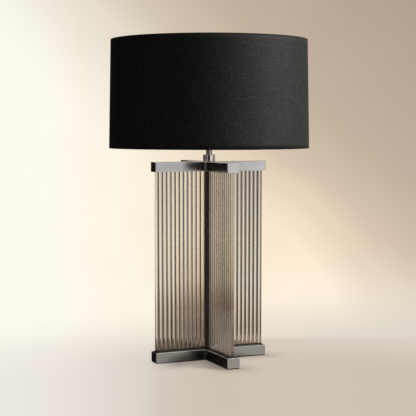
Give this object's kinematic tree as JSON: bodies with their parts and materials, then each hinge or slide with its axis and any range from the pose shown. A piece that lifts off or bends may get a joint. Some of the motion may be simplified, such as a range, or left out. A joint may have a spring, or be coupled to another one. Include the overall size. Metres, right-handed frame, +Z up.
{
  "type": "column table lamp",
  "caption": "Table lamp with a cross-shaped column of upright smoked glass rods between two dark nickel crosses, under a black drum shade.",
  "frame": {"origin": "on the table, under the lamp's vertical axis", "axes": "+Z up along the lamp's axis; the column's four arms lie along +X, -X, +Y and -Y, the harp stands in the XZ plane, the switch points to -Y and the lead's inlet to +Y"},
  "size_m": [0.45, 0.45, 0.7215],
  "materials": {
    "satin_nickel_base": "satin dark nickel, brushed along each bar",
    "satin_nickel_top": "satin dark nickel plate on a light casting, brushed along each bar",
    "polished_nickel": "polished dark nickel",
    "nickel_harp": "drawn wire and pressed strip, nickel plated",
    "zinc_steel": "zinc plated steel",
    "smoked_glass": "clear drawn glass with a smoke brown tint",
    "black_rubber": "matt black moulded rubber",
    "bronze_black_paint": "satin bronze black paint",
    "black_steel": "black powder coat",
    "dark_felt": "dense wool felt",
    "black_plastic": "moulded black plastic",
    "black_linen": "fine plain-weave linen, matt black",
    "shade_lining": "white styrene sheet",
    "white_wire": "white coated wire",
    "nickel_socket": "nickel plated pressed shell",
    "phenolic": "dark moulded phenolic",
    "insulating_paper": "fish paper sleeve",
    "brass_contact": "stamped brass",
    "bulb_insulation": "black glass insulation",
    "bulb_cap_metal": "rolled aluminium",
    "bulb_housing_plastic": "moulded white plastic",
    "opal_glass": "opal white glass"
  },
  "bodies": {
    "lamp": {"base_felt": "dark_felt", "base_cross": "satin_nickel_base", "cover_plate": "black_steel", "cover_screws": "zinc_steel", "cord_bushing": "black_plastic", "lower_washer": "zinc_steel", "lower_nut": "zinc_steel", "lower_rod_seat": "black_rubber", "rods_right": "smoked_glass", "rods_back": "smoked_glass", "rods_left": "smoked_glass", "rods_front": "smoked_glass", "centre_post": "bronze_black_paint", "upper_rod_seat": "black_rubber", "top_cross": "satin_nickel_top", "lamp_pipe": "zinc_steel", "column_locknut": "zinc_steel", "neck_collar": "polished_nickel", "neck_tube": "polished_nickel", "harp_saddle": "nickel_harp", "saddle_locknut": "zinc_steel", "harp_bow": "nickel_harp", "shade_stud": "nickel_harp", "socket_cap": "nickel_socket", "socket_set_screw": "brass_contact", "socket_core": "phenolic", "socket_insulator": "insulating_paper", "socket_shell": "nickel_socket", "screw_shell": "brass_contact", "centre_contact": "brass_contact", "terminal_screws": "brass_contact"},
    "shade": {"shade_fabric": "black_linen", "shade_liner": "shade_lining", "shade_trim_top": "black_linen", "shade_trim_bottom": "black_linen", "shade_ring_top": "white_wire", "shade_ring_bottom": "white_wire", "shade_spider": "white_wire"},
    "finial": {"finial": "polished_nickel"},
    "bulb": {"bulb_tip": "brass_contact", "bulb_insulator": "bulb_insulation", "bulb_cap": "bulb_cap_metal", "bulb_housing": "bulb_housing_plastic", "bulb_globe": "opal_glass"},
    "switch": {"switch_stem": "brass_contact", "switch_knob": "black_plastic"},
    "left_sleeve": {"harp_sleeve_left": "nickel_harp"},
    "right_sleeve": {"harp_sleeve_right": "nickel_harp"}
  },
  "joints": [
    {"name": "shade_turn", "type": "hinge", "parent": "lamp", "child": "shade", "pos_m": [0, 0, 0.6988], "axis": [0, 0, 1], "continuous": true},
    {"name": "finial_turn", "type": "hinge", "parent": "lamp", "child": "finial", "pos_m": [0, 0, 0.7101], "axis": [0, 0, 1], "continuous": true},
    {"name": "bulb_turn", "type": "hinge", "parent": "lamp", "child": "bulb", "pos_m": [0, 0, 0.541], "axis": [0, 0, 1], "continuous": true},
    {"name": "switch_turn", "type": "hinge", "parent": "lamp", "child": "switch", "pos_m": [0, -0.026, 0.518], "axis": [0, -1, 0], "continuous": true},
    {"name": "left_sleeve_slide", "type": "slide", "parent": "lamp", "child": "left_sleeve", "axis": [0, 0, 1], "range_m": [0, 0.012]},
    {"name": "right_sleeve_slide", "type": "slide", "parent": "lamp", "child": "right_sleeve", "axis": [0, 0, 1], "range_m": [0, 0.012]}
  ]
}
